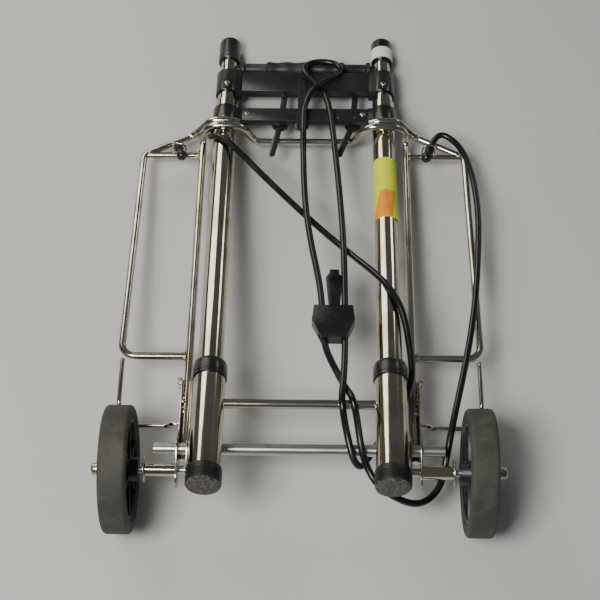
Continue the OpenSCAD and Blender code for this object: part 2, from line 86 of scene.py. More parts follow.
@dataclass(frozen=True)
class Lie:
    """How the folded cart lies on the ground: the tilt of its columns and the place of its feet."""

    column_length: float = 608
    cap_r: float = 12.5
    cap_round: float = 6
    wheel_r: float = 63.5
    pivot: tuple[float, float] = (60, -30)
    axle: tuple[float, float] = (-17.5, -11.5)
    lift: float = math.radians(4.3)

    @property
    def axle_in_columns(self) -> tuple[float, float]:
        """The axle's place in the frame of the columns."""
        c, s = math.cos(self.lift), math.sin(self.lift)
        return (self.pivot[0] + self.axle[0] * c - self.axle[1] * s,
                self.pivot[1] + self.axle[0] * s + self.axle[1] * c)

    @property
    def tilt(self) -> float:
        """The angle at which the wheels and the end caps both touch the ground."""
        y, z = self.axle_in_columns
        run, rise = self.column_length - self.cap_round - y, -z - self.cap_r + self.cap_round
        return (math.atan2(rise, run)
                + math.asin((self.wheel_r - self.cap_round) / math.hypot(run, rise)))

    @property
    def columns(self) -> Matrix:
        """From the frame of the columns, in metres, to the row's frame."""
        y, z = self.axle_in_columns
        c, s = math.cos(self.tilt), math.sin(self.tilt)
        height = self.wheel_r + y * s - z * c
        back = y * c + z * s - self.wheel_r
        far = ((self.column_length - self.cap_round) * c
               + (self.cap_r - self.cap_round) * s + self.cap_round)
        return Matrix.Translation((0, -(back + far) / 2 * MM,
                                   height * MM)) @ Matrix.Rotation(-self.tilt, 4, "X")

    @property
    def platform(self) -> Matrix:
        """From the frame of the platform, in metres, to the row's frame."""
        return (self.columns @ Matrix.Translation((0, self.pivot[0] * MM, self.pivot[1] * MM))
                @ Matrix.Rotation(self.lift, 4, "X"))

    def axle_at(self, x: float) -> Matrix:
        """A frame whose Z runs outwards along the axle from x, on that side of the cart."""
        return (self.platform @ Matrix.Translation((x * MM, self.axle[0] * MM, self.axle[1] * MM))
                @ Matrix.Rotation(math.copysign(math.pi / 2, x), 4, "Y"))

    def column_at(self, x: float) -> Matrix:
        """A frame whose Z runs up the column that stands at x, from its foot's end."""
        return (self.columns @ Matrix.Translation((x * MM, 0, 0))
                @ Matrix.Rotation(-math.pi / 2, 4, "X"))


LIE = Lie()


# --- Shader graphs --------------------------------------------------------------------------------


class Num:
    """A number socket on which Python expressions can be written."""

    def __init__(self, graph: "Graph", socket: bpy.types.NodeSocket) -> None:
        """Wraps a socket of a graph."""
        self.graph, self.socket = graph, socket

    def _math(self, operation: str, *values: "Num | float") -> "Num":
        """Adds one Math node.

        Args:
            operation: the Math node's operation.
            values: its inputs, numbers or sockets.

        Returns:
            The node's result.
        """
        node = self.graph.node("ShaderNodeMath", {"operation": operation}, dict(enumerate(values)))
        return Num(self.graph, node.outputs[0])

    def __add__(self, other: "Num | float") -> "Num":
        """self + other."""
        return self._math("ADD", self, other)

    __radd__ = __add__

    def __mul__(self, other: "Num | float") -> "Num":
        """self * other."""
        return self._math("MULTIPLY", self, other)

    __rmul__ = __mul__

    def __sub__(self, other: "Num | float") -> "Num":
        """self - other."""
        return self._math("SUBTRACT", self, other)

    def __rsub__(self, other: float) -> "Num":
        """other - self."""
        return self._math("SUBTRACT", other, self)

    def __truediv__(self, other: "Num | float") -> "Num":
        """self / other."""
        return self._math("DIVIDE", self, other)

    def __pow__(self, other: float) -> "Num":
        """self to the power of other."""
        return self._math("POWER", self, other)

    def above(self, low: float, high: float) -> "Num":
        """0 below low, 1 above high, and a smooth step between them."""
        node = self.graph.node("ShaderNodeMapRange", {"interpolation_type": "SMOOTHSTEP"},
                               {"Value": self, "From Min": low, "From Max": high})
        return Num(self.graph, node.outputs[0])


class Graph:
    """The node graph of one material."""

    def __init__(self, name: str) -> None:
        """Starts an empty material with its output node."""
        self.material = bpy.data.materials.new(name)
        self.material.use_nodes = True
        self.tree = self.material.node_tree
        self.tree.nodes.clear()
        self.place = self.node("ShaderNodeTexCoord", {}, {}).outputs["Object"]

    def node(self, kind: str, settings: dict, sockets: dict) -> bpy.types.Node:
        """Adds a node.

        Args:
            kind: the node's type.
            settings: its properties, which are set first.
            sockets: values or links of its inputs, by name or index.

        Returns:
            The new node.
        """
        node = self.tree.nodes.new(kind)
        for key, value in settings.items():
            setattr(node, key, value)
        for key, value in sockets.items():
            value = value.socket if isinstance(value, Num) else value
            if isinstance(value, bpy.types.NodeSocket):
                self.tree.links.new(value, node.inputs[key])
            else:
                node.inputs[key].default_value = value
        return node

    def noise(self, scale: float, detail: float = 3, stretch: Point = (1, 1, 1),
              roughness: float = 0.5) -> Num:
        """Cloudy noise.

        Args:
            scale: how many clouds fit in a metre.
            detail: how many finer layers it has.
            stretch: the pattern's scale along each axis.
            roughness: how strong the finer layers are.

        Returns:
            A number around 0.5.
        """
        at = self.node("ShaderNodeMapping", {}, {"Vector": self.place, "Scale": stretch}).outputs[0]
        node = self.node("ShaderNodeTexNoise", {}, {"Vector": at, "Scale": scale, "Detail": detail,
                                                    "Roughness": roughness})
        return Num(self, node.outputs[0])

    def cells(self, scale: float) -> Num:
        """The distance to the nearest of many scattered points, scale of them to a metre."""
        node = self.node("ShaderNodeTexVoronoi", {}, {"Vector": self.place, "Scale": scale})
        return Num(self, node.outputs["Distance"])

    def along(self, direction: Sequence[float], origin: Sequence[float]) -> Num:
        """The distance from origin along a direction, in metres."""
        d = Vector(direction).normalized()
        node = self.node("ShaderNodeVectorMath", {"operation": "DOT_PRODUCT"},
                         {0: self.place, 1: tuple(d)})
        return Num(self, node.outputs["Value"]) - d.dot(Vector(origin))

    def blend(self, share: "Num | float", low: object, high: object) -> bpy.types.NodeSocket:
        """Mixes two colours: low where share is 0, high where it is 1."""
        low, high = ((*c, 1.0) if isinstance(c, tuple) else c for c in (low, high))
        return self.node("ShaderNodeMix", {"data_type": "RGBA"},
                         {0: share, 6: low, 7: high}).outputs[2]

    def surface(self, colour: object, roughness: "Num | float", metallic: float,
                height: "Num | None",
                relief: float, fixed: dict | None = None) -> bpy.types.Material:
        """Joins everything in one shader.

        Args:
            colour: the base colour.
            roughness: a number or socket.
            metallic: 0 or 1.
            height: the relief's height, if there is one.
            relief: how deep the relief is, in metres.
            fixed: other sockets of the shader that hold one value all over.

        Returns:
            The finished material.
        """
        sockets = {"Base Color": (*colour, 1.0) if isinstance(colour, tuple) else colour,
                   "Roughness": roughness, "Metallic": metallic, **(fixed or {})}
        if height is not None:
            bump = self.node("ShaderNodeBump", {},
                             {"Strength": 1.0, "Distance": relief, "Height": height})
            sockets["Normal"] = bump.outputs[0]
        shader = self.node("ShaderNodeBsdfPrincipled", {}, sockets)
        self.node("ShaderNodeOutputMaterial", {}, {"Surface": shader.outputs[0]})
        return self.material


@dataclass(frozen=True)
class Metal:
    """Plated or bare metal: a clean colour, a duller tarnish and fine scratches along the cart."""

    name: str
    clean: Colour
    tarnish: Colour
    polish: tuple[float, float]
    spots: float = 0.0
    lines: Point = (1, 0.12, 1)

    def make(self) -> bpy.types.Material:
        """Builds the material."""
        g = Graph(self.name)
        cloud = g.noise(26, 4).above(0.42, 0.72)
        scratch = g.noise(900, 2, self.lines)
        pits = g.noise(520, 2).above(0.70, 0.78) * self.spots
        colour = g.blend(cloud, self.clean, self.tarnish)
        colour = g.blend(pits, colour, (0.05, 0.035, 0.02))
        low, high = self.polish
        rough = low + (high - low) * (cloud * 0.5 + scratch * 0.5) + pits * 0.35
        return g.surface(colour, rough, 1.0, scratch * 0.3 + g.noise(60, 2) * 0.7 - pits, 0.00004)


@dataclass(frozen=True)
class Moulded:
    """Moulded plastic or rubber: a fine grain, lighter rubbed patches and dust."""

    name: str
    fresh: Colour
    rubbed: Colour
    gloss: tuple[float, float]
    grain: float
    relief: float
    dust: float = 0.15
    coat: float = 0.0

    def make(self) -> bpy.types.Material:
        """Builds the material."""
        g = Graph(self.name)
        patch = g.noise(38, 5, roughness=0.6).above(0.45, 0.75)
        grain = g.cells(self.grain)
        specks = g.noise(700, 2).above(0.62, 0.72) * self.dust
        colour = g.blend(patch * 0.7, self.fresh, self.rubbed)
        colour = g.blend(specks, colour, (0.22, 0.21, 0.19))
        low, high = self.gloss
        rough = low + (high - low) * patch + grain * 0.06
        return g.surface(colour, rough, 0.0, grain * 0.6 + g.noise(150, 3) * 0.4, self.relief,
                         {"Coat Weight": self.coat, "Coat Roughness": 0.15})


@dataclass(frozen=True)
class Scuffed:
    """Rubber whose end face is worn grey where it has stood and been dragged on the ground."""

    name: str
    fresh: Colour
    worn: Colour
    direction: Point
    origin: Point
    depth: float

    def make(self) -> bpy.types.Material:
        """Builds the material."""
        g = Graph(self.name)
        reach = g.noise(420, 4, roughness=0.7)
        near = 1 - (g.along(self.direction, self.origin)
                    + (reach - 0.5) * 0.008).above(self.depth * 0.4, self.depth)
        patch = near * g.noise(380, 6, roughness=0.85).above(0.42, 0.58)
        streak = g.noise(600, 3, (1, 0.2, 1)).above(0.6, 0.75) * 0.12
        colour = g.blend(patch * 0.85 + streak * (1 - patch), self.fresh, self.worn)
        rough = 0.42 + patch * 0.45
        return g.surface(colour, rough, 0.0, g.noise(500, 4) - patch * g.cells(900) * 1.4, 0.00035)


@dataclass(frozen=True)
class Paint:
    """Semi-gloss black paint on steel, rubbed through to bright metal in a few places."""

    name: str
    coat: Colour
    bare: Colour

    def make(self) -> bpy.types.Material:
        """Builds the material."""
        g = Graph(self.name)
        rub = g.noise(95, 5, (1, 0.6, 1), 0.65).above(0.66, 0.74) * g.noise(18, 2).above(0.45, 0.6)
        peel = g.noise(420, 3)
        colour = g.blend(rub, g.blend(g.noise(30, 3) * 0.6, self.coat, (0.055, 0.055, 0.058)),
                         self.bare)
        rough = 0.12 + peel * 0.14 + rub * 0.1
        return g.surface(colour, rough, rub * 0.9, peel - rub * 0.8, 0.00006)


@dataclass(frozen=True)
class PaperLabel:
    """A blank printed label: a flat bright colour with creases, painted shade along the creases and a
    little dirt.
    """

    name: str
    ink: Colour
    # the darker colour of the painted shade along the creases
    painted_crease_shade: Colour
    gloss: float

    def make(self) -> bpy.types.Material:
        """Builds the material."""
        g = Graph(self.name)
        crease = g.noise(70, 3, (1, 0.5, 1))
        dirt = g.noise(500, 3).above(0.66, 0.76) * 0.35
        # Painted shade: the colour darkens where the crease relief rises, following the bump's height.
        colour = g.blend(dirt, g.blend(crease.above(0.45, 0.75) * 0.5, self.ink, self.painted_crease_shade),
                         (0.12, 0.1, 0.05))
        return g.surface(colour, self.gloss + crease * 0.2, 0.0, crease, 0.0005)


def finishes() -> dict[str, bpy.types.Material]:
    """Makes every material of the cart, by name."""
    up = LIE.columns.to_3x3() @ Vector((0, 1, 0))
    foot = LIE.columns @ Vector((0, 0, 0))
    kinds = [
        Metal("chrome_tube", (0.62, 0.58, 0.46), (0.42, 0.38, 0.27), (0.06, 0.17), 0.35),
        Metal("chrome_rod", (0.62, 0.60, 0.53), (0.36, 0.33, 0.27), (0.10, 0.26), 0.5),
        Metal("chrome_plate", (0.52, 0.49, 0.42), (0.22, 0.19, 0.14), (0.16, 0.42), 0.9, (1, 1, 1)),
        Metal("zinc_steel", (0.62, 0.64, 0.61), (0.42, 0.44, 0.40), (0.24, 0.42), 0.4, (0.1, 1, 1)),
        Metal("weld_metal", (0.80, 0.70, 0.45), (0.30, 0.23, 0.14), (0.18, 0.45), 1.0, (1, 1, 1)),
        Paint("black_steel", (0.010, 0.010, 0.011), (0.42, 0.40, 0.36)),
        Moulded("black_plastic", (0.012, 0.012, 0.013), (0.030, 0.030, 0.031), (0.18, 0.36), 1800,
                0.00005),
        Moulded("hub_plastic", (0.012, 0.012, 0.016), (0.035, 0.035, 0.040), (0.34, 0.55), 1300,
                0.00006, 0.3),
        Moulded("rubber_cap", (0.012, 0.012, 0.012), (0.040, 0.039, 0.037), (0.20, 0.42), 1500,
                0.00006, 0.25),
        Moulded("rubber_grip", (0.014, 0.014, 0.014), (0.045, 0.044, 0.042), (0.42, 0.62), 1600,
                0.00010, 0.25),
        Moulded("elastic", (0.006, 0.007, 0.007), (0.016, 0.018, 0.018), (0.22, 0.36), 2200,
                0.00004, 0.08),
        Moulded("tyre", (0.048, 0.048, 0.040), (0.115, 0.113, 0.095), (0.62, 0.85), 700, 0.00030,
                0.22),
        Scuffed("rubber_foot", (0.009, 0.009, 0.009), (0.22, 0.21, 0.185), tuple(up), tuple(foot),
                0.0030),
        PaperLabel("yellow_label", (0.78, 0.93, 0.02), (0.55, 0.72, 0.02), 0.42),
        PaperLabel("orange_label", (0.95, 0.33, 0.02), (0.75, 0.20, 0.02), 0.40),
        PaperLabel("white_label", (0.86, 0.88, 0.88), (0.68, 0.70, 0.70), 0.45),
    ]
    return {kind.name: kind.make() for kind in kinds}


# --- Shaping by operators -------------------------------------------------------------------------


class Bench:
    """Shapes meshes with Blender's own modelling tools and puts them on the cart."""

    def __init__(self) -> None:
        """Makes the finishes that the pieces are dressed in."""
        self.materials = finishes()
        self.count = 0

    def clear(self) -> None:
        """Deselects everything."""
        bpy.ops.object.select_all(action="DESELECT")

    def take(self, obj: bpy.types.Object) -> None:
        """Selects one object alone and makes it the active one."""
        self.clear()
        obj.select_set(True)
        bpy.context.view_layer.objects.active = obj

    def ring(self, name: str, radius: float, sides: int) -> bpy.types.Object:
        """Starts a piece from one open circle.

        Args:
            name: the piece's name.
            radius: the circle's radius, in metres.
            sides: how many sides it has.

        Returns:
            The new object.
        """
        self.clear()
        bpy.ops.mesh.primitive_circle_add(vertices=sides, radius=radius)
        obj = bpy.context.object
        obj.name = obj.data.name = name
        return obj

    def close(self, merge: float = 0.00003) -> None:
        """Merges doubles, closes holes, turns the normals out and leaves edit mode."""
        bpy.ops.mesh.select_all(action="SELECT")
        bpy.ops.mesh.remove_doubles(threshold=merge)
        bpy.ops.mesh.fill_holes(sides=0)
        bpy.ops.mesh.normals_make_consistent(inside=False)
        bpy.ops.object.mode_set(mode="OBJECT")

    def turned(self, name: str, profile: Sequence[tuple[float, float]], place: Matrix,
               sides: int = 64) -> bpy.types.Object:
        """Turns a profile about Z, ring by ring, by extruding and scaling a circle.

        Args:
            name: the piece's name.
            profile: (radius, distance along Z) in millimetres; radius 0 closes an end.
            place: where it goes.
            sides: how many sides its rings have.

        Returns:
            The finished object.
        """
        rings = [(max(r, 0.01) * MM, a * MM) for r, a in profile]
        obj = self.ring(name, rings[0][0], sides)
        bpy.ops.object.mode_set(mode="EDIT")
        bpy.ops.mesh.select_all(action="SELECT")
        bpy.ops.transform.translate(value=(0, 0, rings[0][1]))
        for (r0, a0), (r1, a1) in zip(rings, rings[1:]):
            bpy.ops.mesh.extrude_region_move(TRANSFORM_OT_translate={"value": (0, 0, a1 - a0)})
            if abs(r1 - r0) > 1e-7:
                bpy.ops.transform.resize(value=(r1 / r0, r1 / r0, 1), center_override=(0, 0, a1))
        self.close()
        obj.data.transform(place)
        return obj

    def rod(self, name: str, corners: Sequence[Point], bends: Sequence[float], diameter: float,
            place: Matrix,
            sides: int = 18) -> bpy.types.Object:
        """Bends a round rod: a circle is extruded along each straight and spun round each bend.

        Args:
            name: the piece's name.
            corners: its corner points, in millimetres.
            bends: the bend radius at each corner, 0 at both ends.
            diameter: its diameter, in millimetres.
            place: where it goes.
            sides: how many sides it has.

        Returns:
            The finished object.
        """
        points = [Vector(p) * MM for p in corners]
        radii = [r * MM for r in bends]
        ways = [(b - a).normalized() for a, b in zip(points, points[1:])]
        angles = [0.0] + [a.angle(b) for a, b in zip(ways, ways[1:])] + [0.0]
        trims = [r * math.tan(a / 2) for r, a in zip(radii, angles)]
        obj = self.ring(name, diameter / 2 * MM, sides)
        obj.data.transform(Matrix.Translation(points[0])
                           @ ways[0].to_track_quat("Z", "Y").to_matrix().to_4x4())
        bpy.ops.object.mode_set(mode="EDIT")
        bpy.ops.mesh.select_all(action="SELECT")
        for i, way in enumerate(ways):
            length = (points[i + 1] - points[i]).length - trims[i] - trims[i + 1]
            bpy.ops.mesh.extrude_region_move(TRANSFORM_OT_translate={"value": tuple(way * length)})
            if i + 1 < len(ways):
                turn = way.cross(ways[i + 1]).normalized()
                start = points[i + 1] - way * trims[i + 1]
                centre = start + turn.cross(way) * radii[i + 1]
                bpy.ops.mesh.spin(steps=max(3, int(math.degrees(angles[i + 1]) / 9)),
                                  angle=angles[i + 1] * SPIN_SIGN,
                                  center=tuple(centre), axis=tuple(turn))
        self.close()
        obj.data.transform(place)
        return obj

    def refined(self, node: str, width: float, segments: int = 2,
                angle: float = 35) -> bpy.types.Object:
        """Copies a CAD node's shape, merges it, cleans its flat faces and rounds its edges.

        Args:
            node: the node.
            width: the width of the rounded edges, in millimetres.
            segments: how many steps a rounded edge has.
            angle: edges sharper than this many degrees are rounded.

        Returns:
            The finished object.
        """
        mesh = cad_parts[node].data.copy()
        mesh.materials.clear()
        obj = bpy.data.objects.new(node + "_piece", mesh)
        bpy.context.scene.collection.objects.link(obj)
        self.take(obj)
        bpy.ops.object.mode_set(mode="EDIT")
        bpy.ops.mesh.select_all(action="SELECT")
        bpy.ops.mesh.remove_doubles(threshold=0.000004)
        bpy.ops.mesh.dissolve_limited(angle_limit=math.radians(0.5))
        bpy.ops.object.mode_set(mode="OBJECT")
        if width > 0:
            self.bevel(obj, width, segments, angle)
        return obj

    def bevel(self, obj: bpy.types.Object, width: float, segments: int = 2,
              angle: float = 35) -> None:
        """Rounds the edges of an object that are sharper than an angle in degrees."""
        self.take(obj)
        tool = obj.modifiers.new("rounded", "BEVEL")
        tool.width, tool.segments = width * MM, segments
        tool.limit_method, tool.angle_limit = "ANGLE", math.radians(angle)
        tool.use_clamp_overlap = True
        bpy.ops.object.modifier_apply(modifier=tool.name)

    def bead(self, name: str, size: float, at: Point, stretch: Point, place: Matrix,
             seed: int) -> bpy.types.Object:
        """Makes a rough bead of weld metal.

        Args:
            name: the piece's name.
            size: its radius, in millimetres.
            at: its centre.
            stretch: its scale along each axis.
            place: the frame that it stands in.
            seed: the seed of its roughness.

        Returns:
            The finished object.
        """
        self.clear()
        bpy.ops.mesh.primitive_ico_sphere_add(subdivisions=2, radius=size * MM)
        obj = bpy.context.object
        obj.name = obj.data.name = name
        bpy.ops.object.mode_set(mode="EDIT")
        bpy.ops.mesh.select_all(action="SELECT")
        bpy.ops.transform.resize(value=stretch)
        bpy.ops.transform.vertex_random(offset=size * 0.22 * MM, seed=seed)
        bpy.ops.mesh.subdivide(number_cuts=1, smoothness=1.0)
        bpy.ops.object.mode_set(mode="OBJECT")
        obj.data.transform(place @ Matrix.Translation(Vector(at) * MM))
        return obj

    def join(self, name: str, objects: Sequence[bpy.types.Object]) -> bpy.types.Object:
        """Joins several meshes into one piece of that name."""
        self.clear()
        for obj in objects:
            obj.select_set(True)
        bpy.context.view_layer.objects.active = objects[0]
        bpy.ops.object.join()
        objects[0].name = objects[0].data.name = name
        return objects[0]

    def fit(self, obj: bpy.types.Object, finish: str, body: Body, nodes: Iterable[str] = (),
            slot: str | None = None,
            smooth: float = 38) -> bpy.types.Object:
        """Dresses a piece and puts it on a body.

        Args:
            obj: the piece.
            finish: its material's name.
            body: the body that it moves with.
            nodes: the CAD nodes that it stands for.
            slot: not used.
            smooth: edges sharper than this many degrees stay sharp.

        Returns:
            The same piece.
        """
        self.take(obj)
        bpy.ops.object.shade_smooth_by_angle(angle=math.radians(smooth))
        obj.data.materials.clear()
        obj.data.materials.append(self.materials[finish])
        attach(obj, body.value)
        if nodes:
            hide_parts(*nodes)
        self.count += 1
        log.info("%s: %s on %s, %d faces", obj.name, finish, body.value, len(obj.data.polygons))
        return obj

    def dress(self, finish: str, *nodes: str) -> None:
        """Gives CAD nodes that keep their shape a better material."""
        for node in nodes:
            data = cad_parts[node].data
            data.materials.clear()
            data.materials.append(self.materials[finish])
            log.info("%s keeps its shape, dressed in %s", node, finish)


SPIN_SIGN = -1.0


# --- The sub-assemblies ---------------------------------------------------------------------------


@dataclass
class Columns:
    """The two fixed columns with their feet, collars, beam, bars and lugs."""

    bench: Bench
    spacing: float = 180
    main_r: float = 12.7
    sleeve_r: float = 15.9
    wall: float = 1.2
    sleeve: tuple[float, float] = (5, 122)
    main: tuple[float, float] = (24, 505)
    foot_r: float = 17.5
    foot_length: float = 20
    cross_tube: tuple[float, float] = (6.0, 4.8)

    def tube(self, name: str, side: Side, radius: float,
             ends: tuple[float, float]) -> bpy.types.Object:
        """Turns one thin tube of a column, with softened rims."""
        start, end = ends
        bore, edge = radius - self.wall, 0.3
        profile = [(bore, start), (radius - edge, start), (radius, start + edge),
                   (radius, end - edge),
                   (radius - edge, end), (bore, end), (bore, start)]
        return self.bench.turned(name, profile, LIE.column_at(side.value * self.spacing / 2), 72)

    def foot(self, side: Side) -> bpy.types.Object:
        """Turns a rubber foot: a worn, domed end, a ribbed wall and a rounded lip over the sleeve."""
        r = self.foot_r
        profile = [(0, 0.25), (6, 0.1), (12, 0), (r - 2.4, 0.1), (r - 0.9, 0.8), (r, 2.4), (r, 4.0)]
        for at in (5.2, 8.2, 11.2):
            profile += [(r, at), (r - 0.55, at + 0.5), (r - 0.55, at + 1.2), (r, at + 1.7)]
        profile += [(r, 18.6), (r - 0.5, 19.6), (r - 1.2, self.foot_length),
                    (self.sleeve_r + 0.01, self.foot_length),
                    (self.sleeve_r + 0.01, 5.2), (0, 5.2)]
        return self.bench.turned(f"foot_{side.word}_piece", profile,
                                 LIE.column_at(side.value * self.spacing / 2), 72)

    def reducer(self, side: Side) -> bpy.types.Object:
        """Turns the black reducer between the sleeve and the main tube."""
        start, end, outer = self.sleeve[1], self.sleeve[1] + 20, self.sleeve_r + 1.5
        profile = [(self.main_r, start), (outer - 0.6, start), (outer, start + 0.6),
                   (outer, start + 3),
                   (outer - 0.4, start + 3.4), (outer - 0.4, start + 4.4), (outer, start + 4.8),
                   (outer, end - 5),
                   (outer - 1.2, end - 1.6), (outer - 2.6, end - 0.3), (self.main_r + 0.8, end),
                   (self.main_r, end),
                   (self.main_r, start)]
        return self.bench.turned(f"sleeve_collar_{side.word}_piece", profile,
                                 LIE.column_at(side.value * self.spacing / 2), 72)

    def label(self, name: str, radius: float, low: tuple[float, float], high: tuple[float, float],
              rows: tuple[float, float], lift: float,
              spot: tuple[float, float]) -> bpy.types.Object:
        """Wraps a thin label round the front of a tube, with one corner lifting.

        Args:
            name: the piece's name.
            radius: the radius that it lies on, in millimetres.
            low: the angles of its lower corners from the front of the tube, in degrees.
            high: the angles of its upper corners.
            rows: where it starts and ends along the column.
            lift: how far the lifting corner stands off, in millimetres.
            spot: the corner that lifts, as shares across and along.

        Returns:
            The finished object.
        """
        self.bench.clear()
        bpy.ops.mesh.primitive_grid_add(x_subdivisions=28, y_subdivisions=28, size=1)
        obj = bpy.context.object
        obj.name = obj.data.name = name
        for vertex in obj.data.vertices:
            u, v = vertex.co.x + 0.5, vertex.co.y + 0.5
            left, right = (a + (b - a) * v for a, b in zip(low, high))
            angle = math.radians(left + (right - left) * u)
            away = math.hypot(u - spot[0], (v - spot[1]) * 1.4)
            r = radius + lift * max(0.0, 1 - away / 0.45) ** 2 + 0.12 * math.sin(u * 9 + v * 5) ** 2
            at = rows[0] + (rows[1] - rows[0]) * v
            vertex.co = Vector((self.spacing / 2 + r * math.sin(angle), at,
                                r * math.cos(angle))) * MM
        self.bench.take(obj)
        sheet = obj.modifiers.new("thickness", "SOLIDIFY")
        sheet.thickness, sheet.offset = 0.0002, 1.0
        bpy.ops.object.modifier_apply(modifier=sheet.name)
        obj.data.transform(LIE.columns)
        return obj

    def build(self) -> None:
        """Builds and dresses every piece of the columns."""
        b, body = self.bench, Body.COLUMNS
        for side in Side:
            b.fit(self.tube(f"sleeve_{side.word}_piece", side, self.sleeve_r, self.sleeve),
                  "chrome_tube", body,
                  [f"sleeve_{side.word}"])
            b.fit(self.tube(f"main_tube_{side.word}_piece", side, self.main_r, self.main),
                  "chrome_tube", body,
                  [f"main_tube_{side.word}"])
            b.fit(self.foot(side), "rubber_foot", body, [f"foot_{side.word}"])
            b.fit(self.reducer(side), "black_plastic", body, [f"sleeve_collar_{side.word}"])
            b.fit(b.refined(f"main_collar_{side.word}", 0.5), "black_plastic", body,
                  [f"main_collar_{side.word}"])
            b.fit(b.refined(f"pivot_lug_{side.word}", 0.4), "zinc_steel", body,
                  [f"pivot_lug_{side.word}"])
        b.fit(b.refined("main_beam", 1.1, 3), "black_steel", body, ["main_beam"])
        self.bars()
        b.fit(b.refined("cross_tube_washers", 0.2), "zinc_steel", body, ["cross_tube_washers"])
        b.fit(b.refined("beam_rivets", 0), "zinc_steel", body, ["beam_rivets"])
        b.fit(self.label("yellow_label", self.main_r + 0.06, (-74, 88), (-92, 84), (327, 413), 3.2,
                         (1, 0)),
              "yellow_label", body, slot="chrome_tube")
        b.fit(self.label("orange_label", self.main_r + 0.5, (-70, 28), (-26, 48), (328, 365), 0.3,
                         (0, 0)),
              "orange_label", body, slot="chrome_tube")

    def bars(self) -> None:
        """Builds the chromed crossbar and the cross tube that the platform turns on."""
        b, body = self.bench, Body.COLUMNS
        half, r = self.spacing / 2 + 8, 5.0
        across = Matrix.Rotation(math.pi / 2, 4, "Y")
        bar = [(0, -half), (r - 0.6, -half), (r, -half + 0.6), (r, half - 0.6), (r - 0.6, half),
               (0, half)]
        b.fit(b.turned("crossbar_piece", bar,
                       LIE.columns @ Matrix.Translation((0, 0.094, 0)) @ across, 40),
              "chrome_rod", body, ["crossbar"])
        outer, bore = self.cross_tube
        tube = [(bore, -144), (outer - 0.4, -144), (outer, -143.5), (outer, 143.5),
                (outer - 0.4, 144), (bore, 144),
                (bore, -144)]
        pivot = Matrix.Translation((0, LIE.pivot[0] * MM, LIE.pivot[1] * MM))
        b.fit(b.turned("cross_tube_piece", tube, LIE.columns @ pivot @ across, 48), "zinc_steel",
              body,
              ["cross_tube"])
        beads = [b.bead(f"bar_weld_{side.word}_{i}", 2.6,
                        (side.value * 74.6, 94 + 3.5 * i, -2.5 * i), (0.5, 1, 1),
                        LIE.columns, 3 + i) for side in Side for i in (-1, 1)]
        b.fit(b.join("crossbar_welds", beads), "weld_metal", body, slot="chrome_rod", smooth=60)


